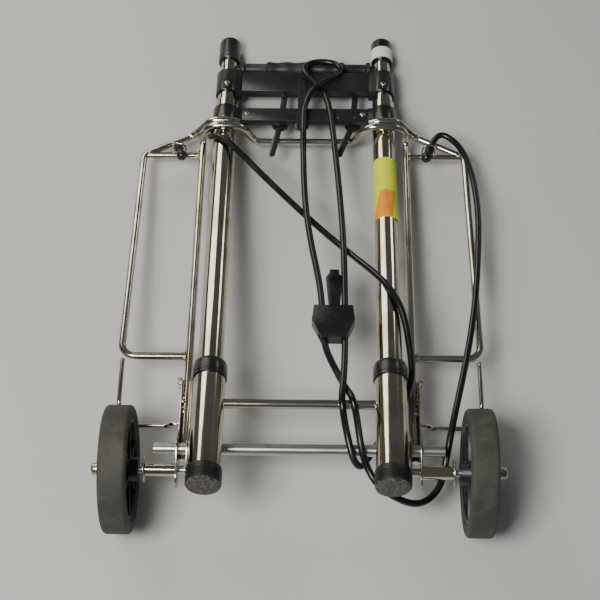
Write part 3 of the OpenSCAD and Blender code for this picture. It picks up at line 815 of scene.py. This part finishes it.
@dataclass
class Handle:
    """The two sliding stages: tubes, collars, buttons, beam, fingers, strap, grip and end caps."""

    bench: Bench
    columns: Columns
    middle_r: float = 11.1
    inner_r: float = 9.5
    middle: tuple[float, float] = (245, 549)
    inner: tuple[float, float] = (289, 602)
    button: tuple[float, float] = (523, 3.5)
    cap: tuple[float, float] = (572, 608)
    cap_r: float = 12.5
    grip_at: float = 563

    def button_piece(self, side: Side) -> bpy.types.Object:
        """Turns a domed release button."""
        at, r = self.button
        place = LIE.columns @ Matrix.Translation((side.value * self.columns.spacing / 2 * MM,
                                                  at * MM, 0))
        profile = [(0, 12.8), (r, 12.8), (r, 16.9), (r - 0.25, 17.5), (r - 0.8, 18.1),
                   (r - 1.7, 18.6), (r - 2.7, 18.8),
                   (0, 18.85)]
        return self.bench.turned(f"button_{side.word}_piece", profile, place, 40)

    def end_cap(self, side: Side) -> bpy.types.Object:
        """Turns the rounded rubber cap of an inner tube."""
        start, end, r = self.cap[0], self.cap[1], self.cap_r
        arc = [(r - 6 + 6 * math.cos(a),
                end - 6 + 6 * math.sin(a)) for a in (i * math.pi / 14 for i in range(8))]
        profile = [(self.inner_r, start), (r - 0.9, start), (r, start + 0.9), (r, start + 4.5),
                   (r - 0.4, start + 5),
                   (r - 0.4, start + 5.8), (r, start + 6.3), *arc, (0, end), (0, end - 5.5),
                   (self.inner_r, end - 5.9),
                   (self.inner_r, start)]
        return self.bench.turned(f"end_cap_{side.word}_piece", profile,
                                 LIE.column_at(side.value * 90), 72)

    def grip(self) -> bpy.types.Object:
        """Turns the hand grip: a fatter middle with grooves, between two plain flanged ends."""
        profile = [(5, -76), (8.2, -76), (9, -75.2), (9, -72), (8.2, -71), (6.6, -70), (6.6, -47),
                   (7.6, -45.5)]
        for i in range(49):
            x = -44 + 88 * i / 48
            profile.append((8.45 + 0.55 * math.cos(x / 22 * 2 * math.pi), x))
        profile += [(7.6, 45.5), (6.6, 47), (6.6, 70), (8.2, 71), (9, 72), (9, 75.2), (8.2, 76),
                    (5, 76), (5, -76)]
        place = LIE.columns @ Matrix.Translation((0, self.grip_at * MM,
                                                  0)) @ Matrix.Rotation(math.pi / 2, 4, "Y")
        return self.bench.turned("grip_piece", profile, place, 48)

    def build(self) -> None:
        """Builds and dresses every piece of the two stages."""
        b, middle, handle = self.bench, Body.MIDDLE, Body.HANDLE
        for side in Side:
            word = side.word
            b.fit(self.columns.tube(f"middle_tube_{word}_piece", side, self.middle_r, self.middle),
                  "chrome_tube",
                  middle, [f"middle_tube_{word}"])
            b.fit(self.columns.tube(f"inner_tube_{word}_piece", side, self.inner_r, self.inner),
                  "chrome_tube",
                  handle, [f"inner_tube_{word}"])
            b.fit(b.refined(f"middle_collar_{word}", 0.45), "black_plastic", middle,
                  [f"middle_collar_{word}"])
            release = Body.RELEASE_LEFT if side is Side.LEFT else Body.RELEASE_RIGHT
            b.fit(self.button_piece(side), "chrome_rod", release, [f"button_{word}"])
            b.fit(self.end_cap(side), "rubber_cap", handle, [f"end_cap_{word}"])
        b.fit(b.refined("middle_beam", 1.1, 3), "black_steel", middle, ["middle_beam"])
        b.fit(b.refined("catch_fingers", 0.35), "black_steel", middle, ["catch_fingers"])
        b.fit(b.refined("catch_strap", 0.4), "black_steel", middle, ["catch_strap"])
        b.dress("black_plastic", "middle_guides", "inner_guides")
        b.dress("zinc_steel", "button_spring_left", "button_spring_right")
        b.dress("black_steel", "grip_bar")
        b.fit(self.grip(), "rubber_grip", handle, ["grip"])
        b.fit(self.columns.label("cap_label", self.cap_r + 0.05, (-84, 84), (-84, 84), (573.5, 591),
                                 0.3, (0, 1)),
              "white_label", handle, slot="rubber_cap")


@dataclass
class Platform:
    """The wire platform: its rods, wings, guards, brackets, axles and the cord's rubber ends."""

    bench: Bench
    rod_d: float = 8
    rod_q: float = -10.5
    side_x: float = 115
    length: float = 397
    arch: float = 17.5
    wing_x: float = 186
    corner: tuple[float, float] = (181, 376)
    low: float = 112
    anchor_x: float = 140
    lean: float = 20

    def front_wire(self) -> bpy.types.Object:
        """Bends the long rod with the two side rods, the two arches and the straight front."""
        half = [(self.side_x, -8, self.rod_q), (self.side_x, self.length, self.rod_q),
                (self.side_x, self.length, self.arch), (71, self.length, self.arch),
                (55, self.length, self.rod_q)]
        bends = [0, 8, 19, 18, 9]
        other = [(-x, p, q) for x, p, q in reversed(half)]
        return self.bench.rod("front_wire_piece", half + other, bends + bends[::-1], self.rod_d,
                              LIE.platform, 20)

    def wing_wire(self, side: Side) -> bpy.types.Object:
        """Bends the rod of one wing."""
        s, p0, q = side.value, self.length + self.rod_d + 0.02, self.rod_q
        corners = [(74, p0, self.arch - 4), (83, p0, self.arch), (self.side_x - 10, p0, self.arch),
                   (self.side_x + 12, p0 - 0.5, q), (*self.corner, q), (self.wing_x, self.low, q),
                   (self.side_x + 4, self.low, q)]
        return self.bench.rod(f"wing_wire_{side.word}_piece",
                              [(s * x, p, z) for x, p, z in corners],
                              [0, 14, 16, 12, 12, 14, 0], self.rod_d, LIE.platform)

    def guard_wire(self, side: Side) -> bpy.types.Object:
        """Bends the thin wire in front of one wheel."""
        s, q = side.value, self.rod_q
        x, inner, dip = self.wing_x - 2, self.side_x + 16, -41
        corners = [(x, self.low - 4, q), (x, 56, q - 1.5), (x, 47, dip), (inner, 47, dip),
                   (inner, 34, q - 1.5),
                   (self.side_x + 6, 34, q - 1.5)]
        return self.bench.rod(f"guard_wire_{side.word}_piece",
                              [(s * a, p, z) for a, p, z in corners],
                              [0, 9, 9, 9, 6, 0], 4.8, LIE.platform, 16)

    def anchor(self, side: Side) -> bpy.types.Object:
        """Turns the rubber end of the cord: a ball, a waisted stem and a tapered neck."""
        s = side.value
        place = (LIE.platform
                 @ Matrix.Translation((s * self.anchor_x * MM, self.corner[1] * MM,
                                       (self.rod_q + 8.6) * MM))
                 @ Matrix.Rotation(math.radians(-self.lean * s), 4,
                                   "Z") @ Matrix.Rotation(-math.pi / 2, 4, "X"))
        ball = [(6 * math.cos(a),
                 -7 + 6 * math.sin(a)) for a in (math.radians(-90 + 18 * i) for i in range(8))]
        profile = [(0, -13), *ball[1:], (4.3, -2), (4.5, 0), (5, 1), (5, 4.6), (4.7, 6), (4.3, 7.2),
                   (3.9, 9),
                   (3.6, 10.8), (0, 11)]
        return self.bench.turned(f"cord_anchor_{side.word}_piece", profile, place, 40)

    def hook(self, side: Side) -> bpy.types.Object:
        """Bends the small wire staple that holds the rubber end on the wing rod."""
        s, x, p, q = side.value, self.anchor_x + 0.5, self.corner[1] + 2.5, self.rod_q
        corners = [(x - 7, p - 1, q + 2), (x - 7, p + 1, q + 15.2), (x + 7, p + 4, q + 15.2),
                   (x + 7, p + 2, q + 2)]
        return self.bench.rod(f"hook_{side.word}", [(s * a, b, c) for a, b, c in corners],
                              [0, 5, 5, 0], 2.0,
                              LIE.platform, 12)

    def welds(self, side: Side) -> bpy.types.Object:
        """Scatters rough weld beads where the rods meet."""
        s, q, spots = side.value, self.rod_q, []
        chain = [(123 - 0.9 * i, 84 - 5.5 * i, q + 2 + (i % 3),
                  2.2 + 0.4 * (i % 2)) for i in range(8)]
        joints = [(120, self.corner[1] - 3, q + 1.5, 3.4), (120, self.corner[1] + 4, q + 2, 3.0),
                  (self.corner[0] - 7, self.corner[1] + 1, q + 2.5, 3.0), (148, 389, q + 4.4, 2.6),
                  (120, self.low - 3, q + 1.5, 3.0), (120, self.low + 3, q + 1, 2.8),
                  (118, self.length + 2, q + 5, 3.2), (126, self.length + 3, q + 3, 2.4),
                  (self.wing_x - 2, self.low - 6, q + 1.2, 2.6), (122, 34, q + 0.5, 2.4)]
        for i, (x, p, z, r) in enumerate(joints + chain):
            spots.append(self.bench.bead(f"bead_{side.word}_{i}", r, (s * x, p, z), (1, 0.85, 0.7),
                                         LIE.platform,
                                         11 + i + (20 if s > 0 else 0)))
        return self.bench.join(f"platform_welds_{side.word}", spots)

    def axle_pieces(self, side: Side) -> None:
        """Builds one stub axle's spacer and cap."""
        b, word, body = self.bench, side.word, Body.PLATFORM
        spacer = [(4, 0), (6.7, 0), (7, 0.3), (7, 30.7), (6.7, 31), (4, 31), (4, 0)]
        b.fit(b.turned(f"spacer_{word}_piece", spacer, LIE.axle_at(side.value * 121), 48),
              "chrome_tube", body,
              [f"spacer_{word}"])
        cap = [(4, 0), (8, 0), (8, 0.9), (7.6, 1.2), (6.3, 1.25), (6.2, 5.8), (5.6, 7), (4.2, 7.9),
               (2.4, 8.35),
               (0, 8.4), (0, 6.4), (4, 6.4), (4, 0)]
        b.fit(b.turned(f"axle_cap_{word}_piece", cap, LIE.axle_at(side.value * 197.1), 40),
              "chrome_plate", body,
              [f"axle_cap_{word}"])

    def build(self) -> None:
        """Builds and dresses every piece of the platform."""
        b, body = self.bench, Body.PLATFORM
        b.fit(self.front_wire(), "chrome_rod", body, ["front_wire"])
        for side in Side:
            word, s = side.word, side.value
            b.fit(self.wing_wire(side), "chrome_rod", body, [f"wing_wire_{word}"])
            x0, x1 = self.side_x + 4, self.corner[0] - 3.6
            across = (LIE.platform @ Matrix.Translation((s * x0 * MM, self.corner[1] * MM,
                                                         self.rod_q * MM))
                      @ Matrix.Rotation(s * math.pi / 2, 4, "Y"))
            b.fit(b.turned(f"wing_rod_{word}_piece",
                           [(0, 0), (3.5, 0), (3.5, x1 - x0), (0, x1 - x0)], across, 24),
                  "chrome_rod", body, [f"wing_rod_{word}"])
            b.fit(self.guard_wire(side), "chrome_rod", body, [f"guard_wire_{word}"])
            b.fit(b.refined(f"bracket_{word}", 0.4), "chrome_plate", body, [f"bracket_{word}"])
            b.fit(self.anchor(side), "rubber_cap", body, [f"cord_anchor_{word}"])
            b.fit(self.hook(side), "chrome_rod", body, slot="chrome_rod", smooth=60)
            b.fit(self.welds(side), "weld_metal", body, slot="chrome_rod", smooth=60)
            self.axle_pieces(side)
            b.dress("zinc_steel", f"stub_axle_{word}")
        b.fit(b.refined("axle_washers", 0.25), "zinc_steel", body, ["axle_washers"])


@dataclass
class Wheel:
    """One wheel: a dusty rubber tyre on a ribbed plastic hub."""

    bench: Bench
    side: Side
    centre: float = 177.5
    radius: float = 63.5
    half_tread: float = 13.5
    bead_r: float = 50

    def tyre(self) -> bpy.types.Object:
        """Turns the tyre: rounded shoulders, a band on each wall and a seat for the hub's rim."""
        r, w, inner, round_r = self.radius, self.half_tread, self.bead_r, 4
        wall = [(inner + 0.2, -w + 2.4), (inner + 1.4, -w + 0.6), (inner + 2.6, -w),
                (inner + 5.2, -w),
                (inner + 5.7, -w + 0.5), (inner + 6.4, -w + 0.5), (inner + 6.9, -w),
                (r - round_r, -w)]
        steps = [math.radians(15 * i) for i in range(1, 7)]
        turn = [(r - round_r + round_r * math.sin(a),
                 -w + round_r - round_r * math.cos(a)) for a in steps]
        half = wall + turn
        other = [(a, -b) for a, b in reversed(half)]
        seat = [(inner, 6), (inner + 2.9, 6), (inner + 2.9, -6), (inner, -6)]
        return self.bench.turned(f"tyre_{self.side.word}_piece", half + other + seat + [half[0]],
                                 LIE.axle_at(self.side.value * self.centre), 128)

    def build(self) -> None:
        """Builds and dresses the wheel's pieces."""
        body = Body.WHEEL_LEFT if self.side is Side.LEFT else Body.WHEEL_RIGHT
        b, word = self.bench, self.side.word
        b.fit(self.tyre(), "tyre", body, [f"tyre_{word}"], smooth=30)
        b.fit(b.refined(f"hub_{word}", 0.5), "hub_plastic", body, [f"hub_{word}"])


@dataclass
class ElasticCord:
    """The elastic cord with its slider: one piece from the left column to the right wing."""

    bench: Bench
    diameter: float = 7
    steps: int = 5
    route: tuple[Point, ...] = (
        (-101, 486, -18), (-106, 478, -12), (-107, 468, -6), (-107, 458, -3), (-106, 449, 5),
                                (-103, 444, 11),
        (-96, 440, 16), (-84, 431, 18), (-52, 397, 8), (-3, 343, 1), (29, 308, 0), (50, 285, 1),
        (78, 246, 15), (90, 228, 17), (99, 212, 16), (107, 192, 7), (113, 148, -9), (112, 126, -15),
        (93, 92, -29), (80, 77, -39), (70, 63, -43), (64, 49, -41), (58, 42, -32), (52, 48, -23),
        (49, 60, -17), (45, 74, -8), (42, 86, 8), (41, 97, 10), (43, 115, 11), (45, 152, 6),
        (45, 225, 5), (44, 285, 11), (41, 345, 9), (36, 415, 6), (31, 466, 12), (29, 482, 14),
        (25, 505, 13), (18, 520, 13), (1, 538, 15), (-2, 548, 15), (2, 557, 14), (11, 562, 14),
        (27, 562, 14), (37, 558, 14), (42, 548, 15), (39, 540, 16), (31, 530, 19), (19, 520, 21),
        (8, 509, 20), (2, 494, 18), (-1, 480, 17), (-1, 464, 15), (-1, 450, 15), (-1, 432, 9),
        (0, 400, 7), (2, 345, 9), (10, 285, 7), (22, 228, 5), (22, 165, 6), (30, 146, 3),
        (45, 112, 2), (50, 101, 9), (52, 94, 10), (54, 87, 7), (57, 77, -5), (60, 60, -18),
        (63, 47, -21), (67, 34, -22), (75, 21, -27), (88, 16, -38), (103, 14, -49), (115, 14, -54),
        (127, 19, -56), (140, 35, -57), (144, 52, -53), (148, 70, -38), (154, 98, -28),
                                (160, 122, -26),
        (173, 180, -22), (180, 220, -19), (185, 255, -16), (193, 345, -12), (190, 392, -9),
                                (184, 424, -4),
        (175, 444, -1), (163, 456, 1), (154, 459, 2), (148, 454, 0), (144, 446, -3))

    def line(self) -> list[Vector]:
        """The cord's centre line, a smooth curve along the route.

        Returns:
            Points in the row's frame, in metres.
        """
        place = LIE.columns
        p = [Vector(q) for q in self.route]
        p = [2 * p[0] - p[1], *p, 2 * p[-1] - p[-2]]
        out = []
        for i in range(1, len(p) - 2):
            for k in range(self.steps):
                t = k / self.steps
                out.append(((1 - t) ** 3 * p[i - 1] + (3 * t ** 3 - 6 * t * t + 4) * p[i]
                            + (1 + 3 * t + 3 * t * t - 3 * t ** 3) * p[i + 1] + t ** 3 * p[i + 2]) / 6)
        out.append(p[-2])
        return [place @ (q * MM) for q in out]

    def build(self) -> None:
        """Builds the cord as a tube, and the slider on it."""
        b, line = self.bench, self.line()
        curve = bpy.data.curves.new("elastic_cord_piece", "CURVE")
        curve.dimensions, curve.bevel_depth, curve.bevel_resolution = "3D", self.diameter / 2 * MM, 5
        curve.use_fill_caps, curve.twist_mode = True, "MINIMUM"
        spline = curve.splines.new("POLY")
        spline.points.add(len(line) - 1)
        for point, q in zip(spline.points, line):
            point.co = (*q, 1.0)
        cord = bpy.data.objects.new("elastic_cord_piece", curve)
        bpy.context.scene.collection.objects.link(cord)
        b.take(cord)
        bpy.ops.object.convert(target="MESH")
        cord = bpy.context.object
        bpy.ops.object.shade_smooth_by_angle(angle=math.radians(50))
        cord.data.materials.append(b.materials["elastic"])
        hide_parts("elastic_cord")
        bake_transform(cord)
        slider = b.fit(b.refined("cord_slider", 0.7, 3), "black_plastic", Body.COLUMNS,
                       ["cord_slider"])
        length = sum((q - p).length for p, q in zip(line, line[1:]))
        log.info("elastic cord: %.3f m", length)


# --- The studio -----------------------------------------------------------------------------------


@dataclass
class Studio:
    """A plain pale floor, soft light and the camera."""

    eye: Point = (0.0141, -0.7626, 1.4102)
    view: Point = (-0.01035, 0.46230, -0.88666)
    up: Point = (-0.01029, 0.88662, 0.46239)
    lens: float = 87.12

    def camera(self) -> None:
        """Places the camera."""
        data = bpy.data.cameras.new("camera")
        data.lens, data.sensor_width, data.clip_start = self.lens, 36.0, 0.01
        obj = bpy.data.objects.new("camera", data)
        bpy.context.scene.collection.objects.link(obj)
        back = -Vector(self.view).normalized()
        side = Vector(self.up).cross(back).normalized()
        top = back.cross(side)
        turn = Matrix((side, top, back)).transposed().to_4x4()
        obj.matrix_world = Matrix.Translation(self.eye) @ turn
        bpy.context.scene.camera = obj

    def floor(self) -> None:
        """Lays the plain pale floor."""
        bpy.ops.object.select_all(action="DESELECT")
        bpy.ops.mesh.primitive_plane_add(size=8)
        obj = bpy.context.object
        obj.name = "floor"
        g = Graph("pale_floor")
        tone = g.noise(3, 2)
        obj.data.materials.append(g.surface(g.blend(tone, (0.60, 0.60, 0.59), (0.66, 0.66, 0.65)),
                                            0.6 + tone * 0.1,
                                            0.0, g.noise(300, 2), 0.00005))

    def lamp(self, name: str, at: Point, size: float, power: float,
             colour: Colour = (1, 1, 1)) -> None:
        """Hangs one soft square lamp that faces the cart."""
        data = bpy.data.lights.new(name, "AREA")
        data.size, data.energy, data.color = size, power, colour
        obj = bpy.data.objects.new(name, data)
        bpy.context.scene.collection.objects.link(obj)
        obj.location = at
        obj.rotation_euler = (Vector((0, 0, 0)) - Vector(at)).to_track_quat("-Z", "Y").to_euler()

    def build(self) -> None:
        """Builds the whole studio."""
        self.camera()
        self.floor()
        self.lamp("key", (-0.80, -0.95, 2.1), 0.8, 48, (1.0, 0.99, 0.96))
        self.lamp("stripe", (-0.98, 1.40, 1.04), 1.1, 13, (1.0, 0.96, 0.86))
        self.lamp("rim", (1.22, 1.36, 0.81), 0.35, 1.6, (0.95, 0.98, 1.0))
        world = bpy.data.worlds.new("room")
        world.use_nodes = True
        world.node_tree.nodes["Background"].inputs[0].default_value = (0.9, 0.95, 1.0, 1)
        world.node_tree.nodes["Background"].inputs[1].default_value = 0.10
        bpy.context.scene.world = world


def main() -> None:
    """Builds the studio and then the cart, sub-assembly by sub-assembly."""
    logging.basicConfig(level=logging.INFO, format="%(message)s", stream=sys.stdout)
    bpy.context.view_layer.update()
    Studio().build()
    bench = Bench()
    ElasticCord(bench).build()
    columns = Columns(bench)
    columns.build()
    Handle(bench, columns).build()
    Platform(bench).build()
    for side in Side:
        Wheel(bench, side).build()
    log.info("%d pieces", bench.count)
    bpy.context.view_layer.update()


if __name__ == "__main__":
    main()
